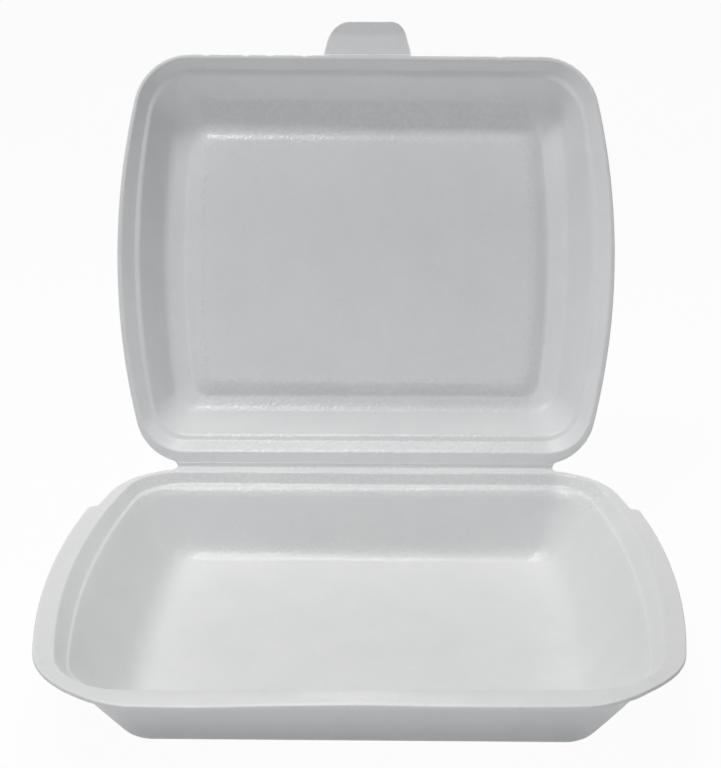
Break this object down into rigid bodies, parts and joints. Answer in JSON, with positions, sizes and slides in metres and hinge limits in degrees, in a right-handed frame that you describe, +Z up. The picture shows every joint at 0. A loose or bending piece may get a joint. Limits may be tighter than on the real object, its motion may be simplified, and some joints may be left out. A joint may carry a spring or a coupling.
{
  "type": "foam clamshell container",
  "caption": "Foam meal box standing open: a flanged tray base, a hinged shallower lid with a raised panel, and a folding locking tab on the lid's front edge.",
  "frame": {"origin": "middle of the underside of the base", "axes": "+X along the hinge to the viewer's right, +Y towards the hinge at the back, +Z up"},
  "size_m": [0.2472, 0.2754, 0.2322],
  "materials": {
    "foam": "white polystyrene foam with a satin pressed skin"
  },
  "bodies": {
    "base": {"base": "foam"},
    "lid": {"lid": "foam"},
    "tab": {"locking_tab": "foam"}
  },
  "joints": [
    {"name": "lid_hinge", "type": "hinge", "parent": "base", "child": "lid", "pos_m": [0, 0.0955, 0.0371], "axis": [-1, 0, 0], "range_deg": [-107, 73]},
    {"name": "tab_fold", "type": "hinge", "parent": "lid", "child": "tab", "pos_m": [0, 0.15126, 0.21879], "axis": [1, 0, 0], "range_deg": [0, 84]}
  ]
}
